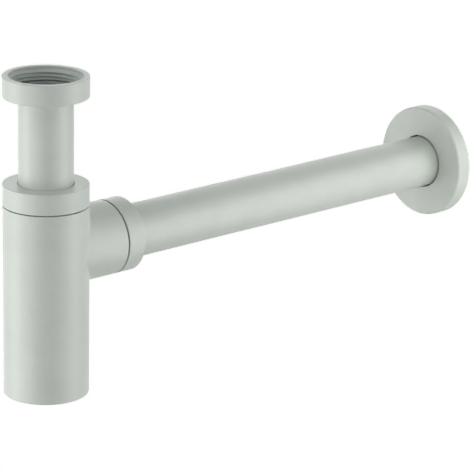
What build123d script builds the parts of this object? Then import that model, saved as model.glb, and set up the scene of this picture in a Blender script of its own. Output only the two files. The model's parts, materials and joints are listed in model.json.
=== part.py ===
from build123d import *
import os

# A bottle waste trap for a washbasin, in millimetres, +Z up.
# The origin is on the inlet axis, in the plane where the basin waste meets the gasket.
# The outlet runs along +X to the wall.

# Pipes
pipe_r = 16.0
pipe_wall = 1.0
pipe_end_chamfer = 0.3

# Clearances
sliding_gap = 0.25  # radius, metal ring round a pipe
grip_gap = 0.08  # radius, rubber ring round a pipe
thread_gap = 0.05  # radius, between the plain cylinders that stand for a thread
seat_gap = 0.02  # along the axis, between faces that rest on each other
taper_gap = 0.08  # across a conical seat
flange_gap = 0.9  # radius, wall flange round the pipe, where only its O-ring touches
cap_seam_gap = 0.65  # along the axis, the dark line under the tightened cap nut
outlet_seam_gap = 1.1  # along the axis, the same line at the outlet nut

# Main layout
inlet_to_outlet = 96.0
shoulder_above_outlet = 28.0
base_below_outlet = 85.5
dip_below_outlet = 65.5
branch_reach = 43.7

# Threaded necks and ring nuts, the same along the axis on the bottle and on the branch
neck_length = 7.1
neck_bore_gap = 1.0
neck_chamfer = 0.4
outlet_neck_wall = 3.0
cap_neck_wall = 5.95
nut_reach = 12.9
nut_plate = 2.4
nut_wall = 2.05

# Tapered seals and slip rings
slip_ring_thickness = 1.2
slip_ring_edge = 0.4
seal_head_thickness = 1.6
seal_cone_length = 4.2
seal_tip_width = 0.9
seat_land = 1.4

# Inlet nut and the lip of the tube in it, which come out at a G 1 1/4 thread
lip_width = 3.2
lip_side_gap = 0.276
lip_bend = 0.5
inlet_thread_depth = 1.479
inlet_relief_depth = 0.4
inlet_mouth_step = 0.5
inlet_mouth_depth = 2.4
inlet_nut_height = 12.2
inlet_shoulder = 1.6
gasket_thickness = 1.2
gasket_inset = 0.1

# Bottle and side branch
body_wall = 2.0
branch_wall = 2.0
branch_blend = 1.5
roof_thickness = 3.0
roof_taper = 4.0
base_rounding = 1.0
floor_thickness = 7.0

# Outlet pipe and wall flange
outlet_pipe_length = 300.0
pipe_inside_branch = 16.7
pipe_behind_flange = 12.3
flange_r = 35.0
flange_depth = 9.4
flange_face = 1.6
flange_rim = 1.4
flange_edge = 1.3
collar_wall = 3.8
collar_depth = 7.2
flange_ring_cord_r = 0.8

# Clean-out plug in the underside
base_rim = 4.25
plug_head_width = 3.8
plug_head_thickness = 2.1
plug_head_inset = 0.1
plug_recess_depth = 2.6
plug_ring_cord_r = 0.8
plug_slot_width = 3.0
plug_slot_length = 26.0
plug_slot_depth = 2.4

# Edges
edge_break = 0.3
seam_edge = 0.15
nut_edge = 0.5

# Sizes that follow from those above
pipe_bore_r = pipe_r - pipe_wall
nut_bore_r = pipe_r + sliding_gap
flange_bore_r = pipe_r + flange_gap
neck_bore_r = pipe_r + neck_bore_gap
cap_neck_r = neck_bore_r + cap_neck_wall
outlet_neck_r = neck_bore_r + outlet_neck_wall
body_r = cap_neck_r + thread_gap + nut_wall
branch_r = outlet_neck_r + thread_gap + nut_wall
seal_tip_r = pipe_r + seal_tip_width
lip_r = pipe_r + lip_width
inlet_thread_r = lip_r + lip_side_gap + inlet_thread_depth
inlet_mouth_r = inlet_thread_r + inlet_mouth_step
plug_head_r = body_r - base_rim
plug_thread_r = plug_head_r - plug_head_width
plug_shank_r = plug_thread_r - thread_gap
plug_groove_r = plug_shank_r + plug_ring_cord_r

# Heights and distances that follow from those above
lip_top = -gasket_thickness - seat_gap
lip_under = lip_top - pipe_wall
shoulder_top = lip_under - seat_gap
inlet_nut_base = shoulder_top - inlet_shoulder
inlet_nut_top = inlet_nut_base + inlet_nut_height
outlet_z = -inlet_to_outlet
shoulder_z = outlet_z + shoulder_above_outlet
base_z = outlet_z - base_below_outlet
outlet_pipe_start = branch_reach - pipe_inside_branch
flange_front = outlet_pipe_start + outlet_pipe_length - pipe_behind_flange - flange_depth
flange_groove = (flange_face + collar_depth) / 2
plate_inside = nut_reach - nut_plate
slip_top = plate_inside - seat_gap
slip_base = slip_top - slip_ring_thickness
seal_top = slip_base - seat_gap
seal_shoulder = seal_top - seal_head_thickness
seal_tip = seal_shoulder - seal_cone_length


def turned(outline):
    """A solid of revolution about Z from its half section, a closed list of (radius, height)."""
    points = [(radius, 0, height) for radius, height in outline]
    section = make_face(Polyline(*points, close=True))
    return revolve(section, Axis.Z)


def circles(part, radius, height):
    """The circular edges of a turned part at one radius and height."""
    edges = part.edges().filter_by(GeomType.CIRCLE)
    near = 0.001
    return [
        edge
        for edge in edges
        if abs(edge.radius - radius) < near and abs(edge.center(CenterOf.BOUNDING_BOX).Z - height) < near
    ]


def along_outlet(part, start=0.0):
    """A part made along +Z, laid along the outlet with its zero at this distance from the inlet axis."""
    return Pos(start, 0, outlet_z) * Rot(0, 90, 0) * part


def make_inlet_nut():
    """Coupling nut: an inward shoulder under the lip, a relief groove, the thread and a plain mouth."""
    mouth_base = inlet_nut_top - inlet_mouth_depth
    relief_r = inlet_thread_r + inlet_relief_depth
    nut = turned(
        [
            (nut_bore_r, inlet_nut_base),
            (body_r, inlet_nut_base),
            (body_r, inlet_nut_top),
            (inlet_mouth_r, inlet_nut_top),
            (inlet_mouth_r, mouth_base + inlet_mouth_step),
            (inlet_thread_r, mouth_base),
            (inlet_thread_r, 0),
            (relief_r, 0),
            (relief_r, shoulder_top),
            (nut_bore_r, shoulder_top),
        ]
    )
    nut = fillet(circles(nut, body_r, inlet_nut_base), nut_edge)
    nut = fillet(circles(nut, body_r, inlet_nut_top), nut_edge)
    nut = chamfer(circles(nut, inlet_mouth_r, inlet_nut_top), edge_break)
    nut = chamfer(circles(nut, nut_bore_r, shoulder_top), lip_bend)
    return chamfer(circles(nut, nut_bore_r, inlet_nut_base), edge_break)


def make_inlet_gasket():
    """Flat washer on the lip, under the basin waste."""
    gasket_r = lip_r - gasket_inset
    washer = turned(
        [
            (pipe_bore_r + edge_break, -gasket_thickness),
            (gasket_r, -gasket_thickness),
            (gasket_r, 0),
            (pipe_bore_r + edge_break, 0),
        ]
    )
    return fillet(circles(washer, gasket_r, 0), edge_break)


def make_inlet_tube():
    """Inlet pipe with its top turned out into a lip. The lower end dips into the bottle."""
    dip_end = outlet_z - dip_below_outlet
    tube = turned(
        [
            (pipe_bore_r, dip_end),
            (pipe_r, dip_end),
            (pipe_r, lip_under),
            (lip_r, lip_under),
            (lip_r, lip_top),
            (pipe_bore_r, lip_top),
        ]
    )
    tube = fillet(circles(tube, pipe_r, lip_under), lip_bend * 0.8)
    tube = fillet(circles(tube, pipe_bore_r, lip_top), lip_bend)
    return chamfer(circles(tube, pipe_r, dip_end), pipe_end_chamfer)


def make_ring_nut(outer_r, neck_r, seam_gap):
    """Ring nut from its open threaded end, just off the shoulder at 0, to the plate round the pipe."""
    thread_r = neck_r + thread_gap
    nut = turned(
        [
            (thread_r, seam_gap),
            (outer_r, seam_gap),
            (outer_r, nut_reach),
            (nut_bore_r, nut_reach),
            (nut_bore_r, plate_inside),
            (thread_r, plate_inside),
        ]
    )
    nut = fillet(circles(nut, outer_r, nut_reach), nut_edge)
    nut = chamfer(circles(nut, outer_r, seam_gap), seam_edge)
    nut = chamfer(circles(nut, thread_r, seam_gap), neck_chamfer)
    return chamfer(circles(nut, nut_bore_r, nut_reach), edge_break)


def make_slip_ring(outer_r):
    """Hard ring that lets the nut turn without dragging the seal."""
    ring = turned(
        [
            (nut_bore_r, slip_base),
            (outer_r, slip_base),
            (outer_r, slip_top),
            (nut_bore_r, slip_top),
        ]
    )
    return fillet(circles(ring, outer_r, slip_base), slip_ring_edge)


def make_tapered_seal(neck_r):
    """Rubber ring with a flat head and a cone that wedges between the pipe and the neck."""
    bore_r = pipe_r + grip_gap
    head_r = neck_r - seat_land
    return turned(
        [
            (bore_r, seal_tip),
            (seal_tip_r, seal_tip),
            (head_r, seal_shoulder),
            (head_r, seal_top),
            (bore_r, seal_top),
        ]
    )


def make_neck(neck_r):
    """Threaded neck from its shoulder at 0, with the conical seat for the seal in its mouth."""
    head_r = neck_r - seat_land
    slope = (head_r - seal_tip_r) / seal_cone_length
    seat_r = head_r + taper_gap - slope * (seal_shoulder - neck_length)
    seat_base = neck_length - (seat_r - neck_bore_r) / slope
    return turned(
        [
            (neck_bore_r, -roof_thickness),
            (neck_r, -roof_thickness),
            (neck_r, neck_length - neck_chamfer),
            (neck_r - neck_chamfer, neck_length),
            (seat_r, neck_length),
            (neck_bore_r, seat_base),
        ]
    )


def make_bottle_outside():
    """Bottle and branch as one solid form, with the blend where they meet."""
    bottle = turned([(0, base_z), (body_r, base_z), (body_r, shoulder_z), (0, shoulder_z)])
    bottle = fillet(circles(bottle, body_r, base_z), base_rounding)
    bottle = chamfer(circles(bottle, body_r, shoulder_z), seam_edge)
    branch = turned([(0, 0), (branch_r, 0), (branch_r, branch_reach), (0, branch_reach)])
    branch = chamfer(circles(branch, branch_r, branch_reach), seam_edge)
    joined = bottle + along_outlet(branch)
    saddle = joined.edges().filter_by(GeomType.CIRCLE, reverse=True).filter_by(GeomType.LINE, reverse=True)
    return fillet(saddle, branch_blend)


def make_waterway(inner_r, low, high):
    """Hollow up to a roof that narrows to the bore of the neck above it."""
    roof = high - roof_thickness
    return turned(
        [
            (0, low),
            (inner_r, low),
            (inner_r, roof - roof_taper),
            (neck_bore_r, roof),
            (neck_bore_r, high),
            (0, high),
        ]
    )


def make_plug_opening():
    """Threaded hole in the floor with a recess for the plug's head."""
    recess_r = plug_head_r + sliding_gap
    return turned(
        [
            (0, base_z),
            (recess_r, base_z),
            (recess_r, base_z + plug_recess_depth),
            (plug_thread_r, base_z + plug_recess_depth),
            (plug_thread_r, base_z + floor_thickness),
            (0, base_z + floor_thickness),
        ]
    )


def make_bottle_body():
    """Bottle with its branch and both threaded necks, one casting."""
    body = make_bottle_outside()
    body -= make_waterway(body_r - body_wall, base_z + floor_thickness, shoulder_z)
    body -= along_outlet(make_waterway(branch_r - branch_wall, 0, branch_reach))
    body += Pos(0, 0, shoulder_z) * make_neck(cap_neck_r)
    body += along_outlet(make_neck(outlet_neck_r), branch_reach)
    return body - make_plug_opening()


def make_outlet_pipe():
    """Plain pipe from inside the branch to behind the wall flange."""
    pipe = turned(
        [
            (pipe_bore_r, 0),
            (pipe_r, 0),
            (pipe_r, outlet_pipe_length),
            (pipe_bore_r, outlet_pipe_length),
        ]
    )
    pipe = chamfer(circles(pipe, pipe_r, 0), pipe_end_chamfer)
    pipe = chamfer(circles(pipe, pipe_r, outlet_pipe_length), pipe_end_chamfer)
    return along_outlet(pipe, outlet_pipe_start)


def make_wall_flange():
    """Hollow cover: face, rim and a collar with the groove for its O-ring."""
    collar_r = pipe_r + collar_wall
    groove_r = pipe_r + grip_gap + 2 * flange_ring_cord_r + seat_gap
    groove_half = flange_ring_cord_r + seat_gap
    cover = turned(
        [
            (flange_bore_r, 0),
            (flange_r, 0),
            (flange_r, flange_depth),
            (flange_r - flange_rim, flange_depth),
            (flange_r - flange_rim, flange_face),
            (collar_r, flange_face),
            (collar_r, collar_depth),
            (flange_bore_r, collar_depth),
            (flange_bore_r, flange_groove + groove_half),
            (groove_r, flange_groove + groove_half),
            (groove_r, flange_groove - groove_half),
            (flange_bore_r, flange_groove - groove_half),
        ]
    )
    cover = fillet(circles(cover, flange_r, 0), flange_edge)
    cover = fillet(circles(cover, flange_r - flange_rim, flange_face), flange_face / 2)
    cover = chamfer(circles(cover, flange_r, flange_depth), edge_break)
    cover = chamfer(circles(cover, flange_bore_r, 0), seam_edge)
    return along_outlet(cover, flange_front)


def make_flange_o_ring():
    """O-ring in the collar's groove, round the pipe."""
    ring = Torus(pipe_r + grip_gap + flange_ring_cord_r, flange_ring_cord_r)
    return along_outlet(ring, flange_front + flange_groove)


def make_clean_out_plug():
    """Screw plug with a coin slot. Its head lies in a recess, level with the underside."""
    head_top = plug_head_inset + plug_head_thickness
    groove_out = plug_groove_r + 2 * plug_ring_cord_r + 2 * grip_gap
    groove_base = plug_recess_depth - 2 * plug_ring_cord_r - 2 * seat_gap
    plug = turned(
        [
            (0, plug_head_inset),
            (plug_head_r, plug_head_inset),
            (plug_head_r, head_top),
            (groove_out, head_top),
            (groove_out, groove_base),
            (plug_groove_r, groove_base),
            (plug_groove_r, head_top),
            (plug_shank_r, head_top),
            (plug_shank_r, floor_thickness),
            (0, floor_thickness),
        ]
    )
    plug = chamfer(circles(plug, plug_head_r, plug_head_inset), nut_edge)
    plug = chamfer(circles(plug, plug_shank_r, floor_thickness), nut_edge)
    slot = extrude(SlotOverall(plug_slot_length, plug_slot_width), plug_head_inset + plug_slot_depth)
    return Pos(0, 0, base_z) * (plug - slot)


def make_plug_o_ring():
    """O-ring between the plug's head and the floor of its recess."""
    ring = Torus(plug_groove_r + grip_gap + plug_ring_cord_r, plug_ring_cord_r)
    return Pos(0, 0, base_z + plug_recess_depth - seat_gap - plug_ring_cord_r) * ring


def on_bottle(part):
    """A part of the cap joint, set over the bottle's shoulder."""
    return Pos(0, 0, shoulder_z) * part


def on_branch(part):
    """A part of the outlet joint, set over the branch's shoulder."""
    return along_outlet(part, branch_reach)


parts = {
    "inlet_nut": make_inlet_nut(),
    "inlet_gasket": make_inlet_gasket(),
    "inlet_tube": make_inlet_tube(),
    "cap_nut": on_bottle(make_ring_nut(body_r, cap_neck_r, cap_seam_gap)),
    "cap_slip_ring": on_bottle(make_slip_ring(cap_neck_r - slip_ring_edge)),
    "cap_seal": on_bottle(make_tapered_seal(cap_neck_r)),
    "bottle_body": make_bottle_body(),
    "outlet_nut": on_branch(make_ring_nut(branch_r, outlet_neck_r, outlet_seam_gap)),
    "outlet_slip_ring": on_branch(make_slip_ring(outlet_neck_r - slip_ring_edge)),
    "outlet_seal": on_branch(make_tapered_seal(outlet_neck_r)),
    "outlet_pipe": make_outlet_pipe(),
    "wall_flange": make_wall_flange(),
    "flange_o_ring": make_flange_o_ring(),
    "clean_out_plug": make_clean_out_plug(),
    "plug_o_ring": make_plug_o_ring(),
}

os.makedirs("parts", exist_ok=True)
for name, part in parts.items():
    export_step(part, f"parts/{name}.step")
    size = part.bounding_box().size
    print(f"{name}: {len(part.solids())} solid, {part.volume:.0f} mm3, {size.X:.1f} x {size.Y:.1f} x {size.Z:.1f}")
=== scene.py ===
# %% [markdown]
# # A bottle waste trap in a satin sage-grey coat
# This trap hangs under a washbasin. A coupling nut and an inlet tube come down from the basin waste, a
# slim bottle holds the water that keeps smells out, and a long pipe runs to a round flange at the wall.
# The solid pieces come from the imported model, at their real size and place, and this script leaves them
# there. It adds what the solids don't have: finishes, screw threads, a floor, light and a camera.

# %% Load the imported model
import json
import math

import bmesh
import bpy
from mathutils import Matrix, Vector


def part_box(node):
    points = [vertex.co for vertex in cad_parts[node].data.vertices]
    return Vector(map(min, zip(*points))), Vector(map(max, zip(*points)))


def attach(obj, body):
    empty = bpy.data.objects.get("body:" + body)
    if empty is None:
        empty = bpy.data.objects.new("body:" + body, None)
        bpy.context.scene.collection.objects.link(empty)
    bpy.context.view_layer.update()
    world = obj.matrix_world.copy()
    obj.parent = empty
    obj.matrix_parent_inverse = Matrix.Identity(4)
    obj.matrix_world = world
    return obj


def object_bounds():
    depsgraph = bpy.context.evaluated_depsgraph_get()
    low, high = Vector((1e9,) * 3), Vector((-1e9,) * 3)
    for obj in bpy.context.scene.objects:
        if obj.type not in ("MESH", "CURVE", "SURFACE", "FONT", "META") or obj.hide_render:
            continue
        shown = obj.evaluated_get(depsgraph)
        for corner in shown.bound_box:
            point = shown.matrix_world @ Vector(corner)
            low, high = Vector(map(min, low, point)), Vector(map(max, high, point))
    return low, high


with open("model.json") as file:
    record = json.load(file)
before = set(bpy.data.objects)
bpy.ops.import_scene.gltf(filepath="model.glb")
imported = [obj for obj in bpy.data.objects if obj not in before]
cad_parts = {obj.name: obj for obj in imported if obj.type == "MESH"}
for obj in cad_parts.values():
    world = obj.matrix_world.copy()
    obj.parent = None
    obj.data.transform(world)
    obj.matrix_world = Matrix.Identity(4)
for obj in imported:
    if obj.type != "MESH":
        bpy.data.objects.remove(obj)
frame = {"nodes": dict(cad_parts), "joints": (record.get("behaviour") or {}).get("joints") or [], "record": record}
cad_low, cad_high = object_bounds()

print("pieces in the frame:", ", ".join(sorted(frame["nodes"])))

# %% [markdown]
# ## Two lines to build on
# Everything on this trap is turned round one of two lines: the inlet line, which runs up through the
# coupling nut, and the outlet line, which runs out to the wall. Each line is kept as a matrix. A point
# made near the Z axis goes through the matrix and lands on the line, so one function can put a thread on
# either of them. Places along the lines are read from the frame and not typed in, so they follow the
# solids.

# %% The lines, and places along them
mm = 0.001
outlet_height = sum(corner.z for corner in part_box("outlet_pipe")) / 2
inlet_line = Matrix.Identity(4)
outlet_line = Matrix.Translation((0, 0, outlet_height)) @ Matrix.Rotation(math.radians(90), 4, "Y")

joint_place = {joint["name"]: joint["pos_m"] for joint in frame["joints"] if "pos_m" in joint}
cap_shoulder = joint_place["cap_nut_turn"][2]
branch_shoulder = joint_place["outlet_nut_turn"][0]
cap_neck_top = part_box("bottle_body")[1].z
branch_neck_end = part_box("bottle_body")[1].x


def widest(node, line, low, high):
    """Largest distance from a line among the node's corners between two places along it."""
    to_line = line.inverted()
    corners = [to_line @ vertex.co for vertex in frame["nodes"][node].data.vertices]
    return max(math.hypot(point.x, point.y) for point in corners if low <= point.z <= high)


cap_neck_r = widest("bottle_body", inlet_line, cap_shoulder + mm, cap_neck_top)
branch_neck_r = widest("bottle_body", outlet_line, branch_shoulder + mm, branch_neck_end)
print("neck radii in mm:", round(cap_neck_r / mm, 2), round(branch_neck_r / mm, 2))

# %% [markdown]
# ## Screw threads
# The solids carry plain cylinders where the real trap has screw threads. A thread could be painted on
# with a bump pattern, but the one in the coupling nut is seen from above with light across it, so it is
# made as a real surface. A screw thread is a wave that climbs one pitch in each turn. The sleeve below is
# a closed ring: its face is that wave, its back lies just inside the wall, and the wave fades out near
# both ends as a cut thread runs out. A wave this steep has flanks close to the 55 degrees of a pipe
# thread, with the same rounded crests.

# %% A threaded sleeve
steps_round = 144
steps_per_pitch = 14
lift = 0.08 * mm  # keeps the thread's root clear of the solid's facets
sink = 0.15 * mm  # how far the sleeve's back lies inside the wall
run_out_pitches = 0.35
crease = math.radians(60)  # an edge that turns more than this stays sharp


def thread_rise(angle, along, low, high, pitch, depth, crest):
    """How far the thread stands off its cylinder at one angle and one place along the line."""
    wave = 0.5 + 0.5 * math.cos(math.tau * ((along - crest) / pitch - angle / math.tau))
    run_out = run_out_pitches * pitch
    fade = min(1, (along - low) / run_out, (high - along) / run_out)
    return fade * (lift + (depth - lift) * wave)


def threaded_sleeve(name, body, line, radius, low, high, pitch, depth, side, crest):
    """Ring with a helical thread: side is 1 for a thread on a neck and -1 for one in a nut."""
    rows = max(2, round((high - low) / pitch * steps_per_pitch))
    mesh = bmesh.new()
    loops = []
    for turn in range(steps_round):
        angle = math.tau * turn / steps_round
        profile = []
        for row in range(rows + 1):
            along = low + (high - low) * row / rows
            rise = thread_rise(angle, along, low, high, pitch, depth, crest)
            profile.append((radius + side * rise, along))
        profile += [(radius - side * sink, high), (radius - side * sink, low)]
        points = [(r * math.cos(angle), r * math.sin(angle), along) for r, along in profile]
        loops.append([mesh.verts.new(line @ Vector(point)) for point in points])
    for this, after in zip(loops, loops[1:] + loops[:1]):
        for a, b, c, d in zip(this, this[1:] + this[:1], after[1:] + after[:1], after):
            mesh.faces.new((a, b, c, d))
    bmesh.ops.recalc_face_normals(mesh, faces=mesh.faces)
    data = bpy.data.meshes.new(name)
    mesh.to_mesh(data)
    mesh.free()
    data.shade_smooth()
    data.set_sharp_from_angle(angle=crease)
    piece = bpy.data.objects.new(name, data)
    bpy.context.scene.collection.objects.link(piece)
    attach(piece, body)
    print(name, "has", len(data.polygons), "faces")
    return piece


print("a sleeve has", steps_round, "steps round and", steps_per_pitch, "along each pitch")

# %% [markdown]
# ## The thread in the coupling nut
# The nut screws onto the basin waste, whose thread is G 1 1/4: 11 turns to the inch and 1.479 mm deep.
# The solid's bore is that thread's largest diameter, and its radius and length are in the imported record,
# so the sleeve stands inwards from there. The crest's height is set so that the turns fall where the
# photograph has them on the far side of the mouth.

# %% Coupling nut thread
inch = 25.4 * mm
pipe_thread_pitch = inch / 11
pipe_thread_depth = 1.479 * mm
mouth_crest = 2.7 * mm  # height of a crest, from the photograph
bore = next(mount["dims"] for mount in frame["record"]["mounts"] if mount["name"] == "inlet_thread")
inlet_thread = threaded_sleeve(
    "inlet_nut_thread", "inlet_nut", inlet_line, bore["r_mm"] * mm, 0, bore["length_mm"] * mm,
    pipe_thread_pitch, pipe_thread_depth, side=-1, crest=mouth_crest,
)

# %% [markdown]
# ## The threads on the two necks
# The bottle's neck and the branch's neck carry a finer thread, 1.5 mm from turn to turn. It stands out
# from the neck into the nut's wall, as the real one does in the nut's own thread, and shows when a ring
# nut is unscrewed. It starts right at the shoulder. Under a tight nut its dark metal is what shows in the
# seam, and stands in for the shade there, so the seam reads as a line: painted shade. The clean-out plug
# in the underside has a finer one still, 1 mm from turn to turn.

# %% Neck and plug threads
neck_pitch = 1.5 * mm
neck_thread_depth = 0.45 * mm
thread_end_chamfer = 0.5 * mm
cap_thread = threaded_sleeve(
    "cap_neck_thread", "bottle_body", inlet_line, cap_neck_r, cap_shoulder,
    cap_neck_top - thread_end_chamfer, neck_pitch, neck_thread_depth, side=1, crest=cap_shoulder,
)
branch_thread = threaded_sleeve(
    "outlet_neck_thread", "bottle_body", outlet_line, branch_neck_r, branch_shoulder,
    branch_neck_end - thread_end_chamfer, neck_pitch, neck_thread_depth, side=1, crest=branch_shoulder,
)

plug_low, plug_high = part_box("clean_out_plug")
plug_thread_start = 2.8 * mm  # above the plug's face, past its head and O-ring
plug_pitch = 1.0 * mm
plug_thread_depth = 0.3 * mm
plug_shank_r = widest("clean_out_plug", inlet_line, plug_low.z + plug_thread_start, plug_high.z)
plug_thread = threaded_sleeve(
    "clean_out_plug_thread", "clean_out_plug", inlet_line, plug_shank_r, plug_low.z + plug_thread_start,
    plug_high.z - thread_end_chamfer, plug_pitch, plug_thread_depth, side=1, crest=plug_low.z,
)

# %% [markdown]
# ## Tools for the finishes
# Colours are written as sRGB hex, the way a paint maker's card gives them, and one function turns them
# into the linear light that Blender mixes. A second function adds a node with its settings and links in
# one line. A third turns the size of a grain in millimetres into the scale of a noise pattern, which
# counts cells per metre. A noise seldom reaches 0 or 1, so most of the patterns below stretch the part
# that it does fill.

# %% Colour, node and scale helpers
noise_low, noise_high = 0.3, 0.7  # what a noise mostly fills of the range from 0 to 1
without_height = (1, 1, 0)  # times a place, this leaves its offset from the Z axis


def linear(hex_colour):
    """Linear RGBA of an sRGB hex colour."""
    parts = [int(hex_colour[i:i + 2], 16) / 255 for i in (0, 2, 4)]
    return [p / 12.92 if p <= 0.04045 else ((p + 0.055) / 1.055) ** 2.4 for p in parts] + [1.0]


def add(tree, kind, inputs=None, **settings):
    """Adds a node, sets it, and fills its inputs with values or with links from other nodes' outputs."""
    made = tree.nodes.new("ShaderNode" + kind)
    for name, value in settings.items():
        setattr(made, name, value)
    for socket, value in (inputs or {}).items():
        if isinstance(value, bpy.types.NodeSocket):
            tree.links.new(value, made.inputs[socket])
        else:
            made.inputs[socket].default_value = value
    return made


def cells_per_metre(size_mm):
    """Scale of a pattern whose grains are this many millimetres across."""
    return 1 / (size_mm * mm)


def new_material(name):
    """Empty material, its node tree, its Principled shader and the object's own coordinates."""
    material = bpy.data.materials.new(name)
    material.use_nodes = True
    tree = material.node_tree
    place = add(tree, "TexCoord").outputs["Object"]
    return material, tree, tree.nodes["Principled BSDF"], place


print("middle grey 808080 in linear light:", round(linear("808080")[0], 3))

# %% [markdown]
# ## The coat
# The trap is turned and cast brass under a polyester powder coat. Powder is sprayed on dry and melted in
# an oven, which leaves an even satin skin with no brush marks: the eye sees broad soft highlights, a very
# slight waviness called orange peel, about 2 mm from crest to crest, and a fine grain of pigment. Where
# the powder settled a little thicker, tone and gloss drift over about 18 mm. A picture of a coat could be
# wrapped round each piece, but its seam would show on a tube. Noise patterns in the object's own space
# have no seam, and their sizes are set in millimetres. The real grain is under 0.1 mm. It is drawn at 0.5
# mm here, which is as fine as this picture can show.

# %% Satin powder coat on brass
coat_light = linear("CDD4CC")
coat_dark = linear("C7CEC6")
coat_roughness, coat_roughness_drift = 0.45, 0.03
coat_ior = 1.6  # polyester resin with titanium white in it
coat_drift_mm, coat_peel_mm, coat_grain_mm = 18, 2.0, 0.5
peel_height = 0.02 * mm
grain_height = 0.004 * mm
speckle_low, speckle_high = 0.15, 0.35  # what the product of two noises mostly fills


def powder_coat(name):
    """Satin powder coat with orange peel and pigment grain, as a material that others build on."""
    material, tree, shader, place = new_material(name)
    grain = add(tree, "TexNoise", {"Vector": place, "Scale": cells_per_metre(coat_grain_mm), "Detail": 3.0})
    drift = add(tree, "TexNoise", {"Vector": place, "Scale": cells_per_metre(coat_drift_mm), "Detail": 2.0})
    peel = add(tree, "TexNoise", {"Vector": place, "Scale": cells_per_metre(coat_peel_mm), "Detail": 1.0})
    speckle = add(tree, "Math", {0: grain.outputs["Fac"], 1: drift.outputs["Fac"]}, operation="MULTIPLY")
    tone = add(tree, "MapRange", {0: speckle.outputs[0], 1: speckle_low, 2: speckle_high})
    colour = add(tree, "Mix", {0: tone.outputs[0], 6: coat_dark, 7: coat_light}, data_type="RGBA")
    rough = add(tree, "MapRange", {0: drift.outputs["Fac"], 1: noise_low, 2: noise_high,
                                   3: coat_roughness - coat_roughness_drift,
                                   4: coat_roughness + coat_roughness_drift})
    wave = add(tree, "Bump", {"Height": peel.outputs["Fac"], "Strength": 1.0, "Distance": peel_height})
    skin = add(tree, "Bump", {"Height": grain.outputs["Fac"], "Strength": 1.0, "Distance": grain_height,
                              "Normal": wave.outputs[0]})
    shader.inputs["IOR"].default_value = coat_ior
    tree.links.new(colour.outputs[2], shader.inputs["Base Color"])
    tree.links.new(rough.outputs[0], shader.inputs["Roughness"])
    tree.links.new(skin.outputs[0], shader.inputs["Normal"])
    return material


satin_coat = powder_coat("satin_powder_coat")
print(satin_coat.name, "has", len(satin_coat.node_tree.nodes), "nodes")

# %% [markdown]
# ## Bare brass in the pipes
# Sprayed powder drifts only a little way into a pipe, so further in the two pipes show their drawn brass:
# a dull yellow metal with fine lines along the pipe from the drawing die, drawn here at 0.6 mm, coarser
# than they are, so that they show. Two materials on two sets of faces would meet in a clean line, and
# powder ends in a ragged one. So the pipe material is the coat above with a mask that turns it to brass.
# The mask is 1 in the bore where that lies deeper than the powder's reach, and a noise makes its edge
# ragged. A Mapping node in texture mode turns a place on the trap into a place along the pipe's own line,
# so the same nodes serve both pipes.

# %% Coated pipe with a bare bore
brass_dark, brass_light = linear("8E7345"), linear("AD8F5A")
brass_roughness = 0.38
overspray_reach = 16 * mm
overspray_fade = 6 * mm
ragged_mm = 3
bore_margin = 0.3 * mm  # puts the mask's border inside the wall, clear of both its faces
die_line_mm, die_line_stretch = 0.6, 0.03


def coated_pipe(name, line, bore_r, open_end):
    """Powder coat outside and drawn brass in the bore, past the overspray at the open end."""
    material = powder_coat(name)
    tree = material.node_tree
    shader = tree.nodes["Principled BSDF"]
    place = tree.nodes["Texture Coordinate"].outputs["Object"]
    own = add(tree, "Mapping", {"Vector": place, "Location": line.translation, "Rotation": line.to_euler()},
              vector_type="TEXTURE")
    across = add(tree, "VectorMath", {0: own.outputs[0], 1: without_height}, operation="MULTIPLY")
    radius = add(tree, "VectorMath", {0: across.outputs[0]}, operation="LENGTH").outputs["Value"]
    along = add(tree, "SeparateXYZ", {0: own.outputs[0]}).outputs["Z"]
    ragged = add(tree, "TexNoise", {"Vector": place, "Scale": cells_per_metre(ragged_mm), "Detail": 4.0})
    fray = add(tree, "Math", {0: ragged.outputs["Fac"], 1: overspray_fade, 2: along},
               operation="MULTIPLY_ADD")
    bare_from = open_end - overspray_reach
    deep = add(tree, "MapRange", {0: fray.outputs[0], 1: bare_from, 2: bare_from - overspray_fade})
    inner = add(tree, "Math", {0: radius, 1: bore_r + bore_margin}, operation="LESS_THAN")
    bare = add(tree, "Math", {0: deep.outputs[0], 1: inner.outputs[0]}, operation="MULTIPLY").outputs[0]
    stretched = add(tree, "Mapping", {"Vector": own.outputs[0], "Scale": (1, 1, die_line_stretch)})
    lines = add(tree, "TexNoise", {"Vector": stretched.outputs[0], "Scale": cells_per_metre(die_line_mm),
                                   "Detail": 3.0})
    brass = add(tree, "Mix", {0: lines.outputs["Fac"], 6: brass_dark, 7: brass_light}, data_type="RGBA")
    coat_colour = shader.inputs["Base Color"].links[0].from_socket
    coat_rough = shader.inputs["Roughness"].links[0].from_socket
    colour = add(tree, "Mix", {0: bare, 6: coat_colour, 7: brass.outputs[2]}, data_type="RGBA")
    rough = add(tree, "MapRange", {0: bare, 3: coat_rough, 4: brass_roughness})
    tree.links.new(colour.outputs[2], shader.inputs["Base Color"])
    tree.links.new(rough.outputs[0], shader.inputs["Roughness"])
    tree.links.new(bare, shader.inputs["Metallic"])
    return material


pipe_wall = 1 * mm
pipe_bore_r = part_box("outlet_pipe")[1].y - pipe_wall
inlet_tube_coat = coated_pipe("coated_inlet_tube", inlet_line, pipe_bore_r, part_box("inlet_tube")[1].z)
outlet_pipe_coat = coated_pipe("coated_outlet_pipe", outlet_line, pipe_bore_r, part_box("outlet_pipe")[1].x)
print("bore in mm:", round(2 * pipe_bore_r / mm, 1), "coated for the first", round(overspray_reach / mm))
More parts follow.
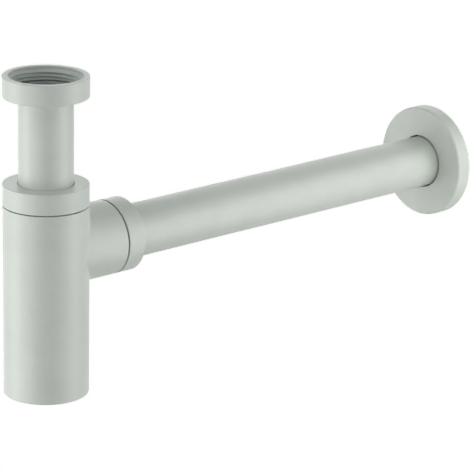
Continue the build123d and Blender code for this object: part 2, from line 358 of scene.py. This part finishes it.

# %% [markdown]
# ## Thin coat in the coupling nut's mouth
# Sprayed powder reaches the nut's mouth. On the thread and the wall round it, the coat is drawn a little
# darker and bluer than outside: the darkening is painted shade in the mouth. It is the same coat with a
# mask on the distance from the inlet line, and the thread's sleeve takes it too.

# %% Coat with painted shade in the mouth
# Darker and bluer than the coat outside; the darkening is painted shade in the mouth.
mouth_shade_colour = linear("C5CCC8")
mouth_step = 0.6 * mm  # just past the plain mouth, which is 0.5 mm outside the thread's largest radius
mouth_blend = 0.2 * mm


def coat_with_painted_mouth_shade(name, painted_shade_r):
    """Powder coat that turns darker and bluer nearer to the inlet line than a radius: painted shade."""
    material = powder_coat(name)
    tree = material.node_tree
    shader = tree.nodes["Principled BSDF"]
    place = tree.nodes["Texture Coordinate"].outputs["Object"]
    across = add(tree, "VectorMath", {0: place, 1: without_height}, operation="MULTIPLY")
    radius = add(tree, "VectorMath", {0: across.outputs[0]}, operation="LENGTH").outputs["Value"]
    # 1 nearer to the inlet line than the radius, where the shade is painted in
    painted_shade_mask = add(tree, "MapRange", {0: radius, 1: painted_shade_r + mouth_blend, 2: painted_shade_r})
    full = shader.inputs["Base Color"].links[0].from_socket
    colour = add(tree, "Mix", {0: painted_shade_mask.outputs[0], 6: full, 7: mouth_shade_colour}, data_type="RGBA")
    tree.links.new(colour.outputs[2], shader.inputs["Base Color"])
    return material


# The radius inside which the coat takes the painted shade of the mouth
mouth_r = bore["r_mm"] * mm + mouth_step
inlet_nut_coat_and_shade = coat_with_painted_mouth_shade("coat_with_painted_mouth_shade", mouth_r)
print("the coat thins inside a radius of", round(mouth_r / mm, 2), "mm")

# %% [markdown]
# ## Greased brass on the threads
# The threads that screw together are masked while the powder is sprayed, because a coat would jam them.
# They are turned brass, dulled by the grease they are put together with: a dark yellow-brown metal with
# soft highlights. Lathe marks run round them about 0.15 mm apart, too fine to show, so a noise of 0.6 mm
# stands for the patchy film of grease.

# %% Greased brass
# Dark greased brass, the threads' own finish; in the neck seams the same dark tone is painted shade.
grease_dark_and_seam_shade, grease_light_and_seam_shade = linear("39362B"), linear("5F583F")
grease_mm = 0.6
grease_smooth, grease_rough = 0.35, 0.55
grease_metallic = 0.7  # brass seen through a thin film that hides part of it
greased_brass_and_seam_shade, tree, shader, place = new_material("greased_turned_brass")
film = add(tree, "TexNoise", {"Vector": place, "Scale": cells_per_metre(grease_mm), "Detail": 4.0})
tone = add(tree, "Mix", {0: film.outputs["Fac"], 6: grease_dark_and_seam_shade, 7: grease_light_and_seam_shade}, data_type="RGBA")
sheen = add(tree, "MapRange", {0: film.outputs["Fac"], 1: noise_low, 2: noise_high,
                               3: grease_smooth, 4: grease_rough})
tree.links.new(tone.outputs[2], shader.inputs["Base Color"])
tree.links.new(sheen.outputs[0], shader.inputs["Roughness"])
shader.inputs["Metallic"].default_value = grease_metallic
print(greased_brass_and_seam_shade.name, "has a roughness from", grease_smooth, "to", grease_rough)

# %% [markdown]
# ## Rubber and plastic
# Three kinds of piece inside the joints are of other materials. The tapered seals and O-rings are black
# EPDM, a moulded rubber that looks matt and slightly dusty. The flat gasket in the coupling nut is a grey
# rubber cut from sheet. The slip rings are white acetal, a slippery plastic that comes from the mould
# with a low sheen. They differ only in colour, gloss and grain, so one function makes all three. Each
# gets two close tones in patches of about 6 mm, as handling leaves them, and a fine grain. A real one is
# under 0.1 mm, and these are drawn at 0.6 to 0.8 mm so that they show.

# %% A plain moulded finish
patch_mm = 6
roughness_spread = 0.06


def moulded(name, dark, light, roughness, grain_mm, grain_depth_mm):
    """Moulded material: two close tones, a surface grain and a roughness that varies with it."""
    material, tree, shader, place = new_material(name)
    grain = add(tree, "TexNoise", {"Vector": place, "Scale": cells_per_metre(grain_mm), "Detail": 4.0})
    patch = add(tree, "TexNoise", {"Vector": place, "Scale": cells_per_metre(patch_mm), "Detail": 2.0})
    tone = add(tree, "MapRange", {0: patch.outputs["Fac"], 1: noise_low, 2: noise_high})
    colour = add(tree, "Mix", {0: tone.outputs[0], 6: linear(dark), 7: linear(light)}, data_type="RGBA")
    rough = add(tree, "MapRange", {0: grain.outputs["Fac"], 1: noise_low, 2: noise_high,
                                   3: roughness - roughness_spread, 4: roughness + roughness_spread})
    bump = add(tree, "Bump", {"Height": grain.outputs["Fac"], "Strength": 1.0,
                              "Distance": grain_depth_mm * mm})
    tree.links.new(colour.outputs[2], shader.inputs["Base Color"])
    tree.links.new(rough.outputs[0], shader.inputs["Roughness"])
    tree.links.new(bump.outputs[0], shader.inputs["Normal"])
    return material


finishes = {
    "satin_coat": satin_coat,
    "black_rubber": moulded("black_epdm_rubber", "1B1B1B", "262625", 0.68, 0.6, 0.01),
    "grey_rubber": moulded("grey_sheet_rubber", "A9B0AC", "B4BAB7", 0.72, 0.8, 0.02),
    "white_plastic": moulded("white_acetal", "DEDCD4", "E6E4DD", 0.4, 0.7, 0.004),
}
print("finishes:", ", ".join(finishes))

# %% [markdown]
# ## Put the finishes on
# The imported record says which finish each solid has, so a loop over its list reaches every one. The two
# pipes and the coupling nut then take their own forms of the coat. The nut's thread is coated like its
# mouth, and the other three threads are greased brass.

# %% Dress every piece
for row in frame["record"]["subparts"]:
    for slot in frame["nodes"][row["node"]].material_slots:
        slot.material = finishes[row["material_slot"]]
frame["nodes"]["inlet_tube"].material_slots[0].material = inlet_tube_coat
frame["nodes"]["outlet_pipe"].material_slots[0].material = outlet_pipe_coat
frame["nodes"]["inlet_nut"].material_slots[0].material = inlet_nut_coat_and_shade
inlet_thread.data.materials.append(inlet_nut_coat_and_shade)
# On the two necks the dark greased brass also stands in for the shade in the seams: painted shade.
for piece in (cap_thread, branch_thread, plug_thread):
    piece.data.materials.append(greased_brass_and_seam_shade)

# %% [markdown]
# ## Floor and background
# The picture is a catalogue picture on plain white. The trap hangs from its nut, so the floor is well
# below it, as it is under a washbasin. A plain white world would give the background too, but would light
# the trap evenly from all sides and wash out its bands. So the floor and the world shine white only to
# the camera, in gloss and through glass, and the world lights the trap with a hundredth of that. The
# floor is a real diffuse surface, so the trap's soft shadow falls on it, faint at that distance. Seen
# from below, the floor would hide the trap, so its lower side is clear.

# %% Floor and world
def seen_directly(tree):
    """1 for what the camera sees, itself or in gloss or glass, and 0 for light that falls on things."""
    ray = add(tree, "LightPath").outputs
    sight = add(tree, "Math", {0: ray["Is Camera Ray"], 1: ray["Is Glossy Ray"]}, operation="MAXIMUM")
    glass = ray["Is Transmission Ray"]
    return add(tree, "Math", {0: sight.outputs[0], 1: glass}, operation="MAXIMUM").outputs[0]


floor_below = 1200 * mm
floor_side = 14.0  # metres
ambient = 0.01  # what the world lights the trap with, where 1 is white
white = (1, 1, 1, 1)
floor_glow = 0.95  # the rest of the floor's white is light from the soft boxes
floor_roughness = 0.9
floor_patch_mm = 300
floor_dark, floor_light = linear("BCBCBA"), linear("C2C2C1")

world = bpy.data.worlds.new("white_studio")
bpy.context.scene.world = world
world.use_nodes = True
sky = world.node_tree
strength = add(sky, "MapRange", {0: seen_directly(sky), 3: ambient, 4: 1.0})  # 1 reads as white
sky.nodes["Background"].inputs["Color"].default_value = white
sky.links.new(strength.outputs[0], sky.nodes["Background"].inputs["Strength"])

bpy.ops.mesh.primitive_plane_add(size=floor_side, location=(0, 0, cad_low.z - floor_below))
floor = bpy.context.object
floor.name = "floor"

paint, tree, shader, place = new_material("pale_floor_paint")
patch = add(tree, "TexNoise", {"Vector": place, "Scale": cells_per_metre(floor_patch_mm)})
tone = add(tree, "Mix", {0: patch.outputs["Fac"], 6: floor_dark, 7: floor_light}, data_type="RGBA")
tree.links.new(tone.outputs[2], shader.inputs["Base Color"])
shader.inputs["Roughness"].default_value = floor_roughness
glow = add(tree, "Math", {0: seen_directly(tree), 1: floor_glow}, operation="MULTIPLY")
shader.inputs["Emission Color"].default_value = white
tree.links.new(glow.outputs[0], shader.inputs["Emission Strength"])
clear = add(tree, "BsdfTransparent")
lower_side = add(tree, "NewGeometry").outputs["Backfacing"]
both = add(tree, "MixShader", {0: lower_side, 1: shader.outputs[0], 2: clear.outputs[0]})
tree.links.new(both.outputs[0], tree.nodes["Material Output"].inputs["Surface"])
floor.data.materials.append(paint)
print("the floor lies", round(floor_below / mm), "mm below the trap")

# %% [markdown]
# ## Light
# The bright bands on the tubes say where the light came from. Upright tubes are bright near both sides
# and darkest where they face the camera, so little comes from beside it: most soft boxes stand to its
# left and its right. The long pipe is brightest a little below its middle, so the ones on the right reach
# low, and it stays as bright at the wall as at the bottle, so some of them stand near. Two broad boxes
# behind light the back. A box is placed by its direction from the trap's middle, and points at it. Each
# was first rendered by itself, and its strength was then chosen so that the sum gives the photograph's
# bright and dark bands.

# %% Soft boxes
middle = (cad_low + cad_high) / 2


def soft_box(name, azimuth, elevation, distance, width, height, watts):
    """Area light in a direction from the trap's middle: azimuth counts from +X towards +Y, in degrees."""
    turn, rise = math.radians(azimuth), math.radians(elevation)
    away = Vector((math.cos(turn) * math.cos(rise), math.sin(turn) * math.cos(rise), math.sin(rise)))
    lamp = bpy.data.lights.new(name, "AREA")
    lamp.shape = "RECTANGLE"
    lamp.size, lamp.size_y = width, height
    lamp.energy = watts
    box = bpy.data.objects.new(name, lamp)
    box.location = middle + away * distance
    box.rotation_euler = away.to_track_quat("Z", "Y").to_euler()
    box.visible_camera = False
    bpy.context.scene.collection.objects.link(box)
    return box


# name, azimuth and elevation in degrees, distance, width and height in metres, watts
soft_box("right_strip", 302, -8, 0.6, 0.3, 0.7, 1.9)
soft_box("front_strip", 274, -3, 0.6, 0.4, 0.8, 1.05)
soft_box("right_high_box", 320, 22, 0.6, 0.4, 0.3, 0.6)
soft_box("front_high_box", 268, 49, 1.2, 0.6, 0.5, 1.65)
soft_box("left_front_box", 213, 8, 1.2, 0.4, 0.8, 1.35)
soft_box("left_strip", 190, -8, 0.6, 0.2, 0.5, 0.25)
soft_box("left_box", 180, -12, 1.2, 0.4, 1.6, 1.3)
soft_box("left_low_box", 175, -32, 0.9, 0.4, 0.5, 0.9)
soft_box("left_rear_box", 150, 0, 1.2, 0.5, 1.6, 9)
soft_box("left_high_box", 170, 45, 1.2, 0.6, 0.5, 1.5)
soft_box("rear_box", 45, 28, 1.2, 1.0, 0.8, 3.2)
soft_box("rear_low_box", 65, -12, 1.2, 0.8, 0.8, 5)

# %% [markdown]
# ## Camera
# The camera is worked out from how the trap lies in the photograph. The two ellipses of the nut's mouth
# give the angle looked down from, the slope of the long pipe gives the angle looked round from, and how
# much nearer things grow gives the distance. The last step is to shift the aim sideways in the picture
# until the crossing of the two pipe lines falls on the pixel where it lies in the photograph.

# %% Camera
picture_side = 470
crossing_pixel = (45.98, 251.05)  # where the inlet line and the outlet line cross in the photograph
pixels_per_metre = 1738  # at the crossing
look_azimuth, look_down, look_roll = -42.07, 17.46, 1.135  # degrees, fitted to the photograph
camera_distance = 1.6468  # metres
sensor = 36  # millimetres, as Blender gives it

turn, down, roll = (math.radians(angle) for angle in (look_azimuth, look_down, look_roll))
back = Vector((math.sin(turn) * math.cos(down), -math.cos(turn) * math.cos(down), math.sin(down)))
level = Vector((math.cos(turn), math.sin(turn), 0))
upright = back.cross(level)
right = math.cos(roll) * level + math.sin(roll) * upright
up = math.cos(roll) * upright - math.sin(roll) * level

crossing = Vector((0, 0, outlet_height))
across, below = (pixel - picture_side / 2 for pixel in crossing_pixel)
aim = crossing - right * (across / pixels_per_metre) + up * (below / pixels_per_metre)
camera = bpy.data.objects.new("camera", bpy.data.cameras.new("camera"))
stance = Matrix((right, up, back)).transposed().to_4x4()
camera.matrix_world = Matrix.Translation(aim + back * camera_distance) @ stance
camera.data.sensor_width = sensor
camera.data.lens = sensor * pixels_per_metre * camera_distance / picture_side
bpy.context.scene.collection.objects.link(camera)
bpy.context.scene.camera = camera
print("lens in mm:", round(camera.data.lens, 1))

# %% [markdown]
# The Standard view shows each colour about as it is written, which suits a plain catalogue picture.

# %% Finish
bpy.context.scene.view_settings.view_transform = "Standard"
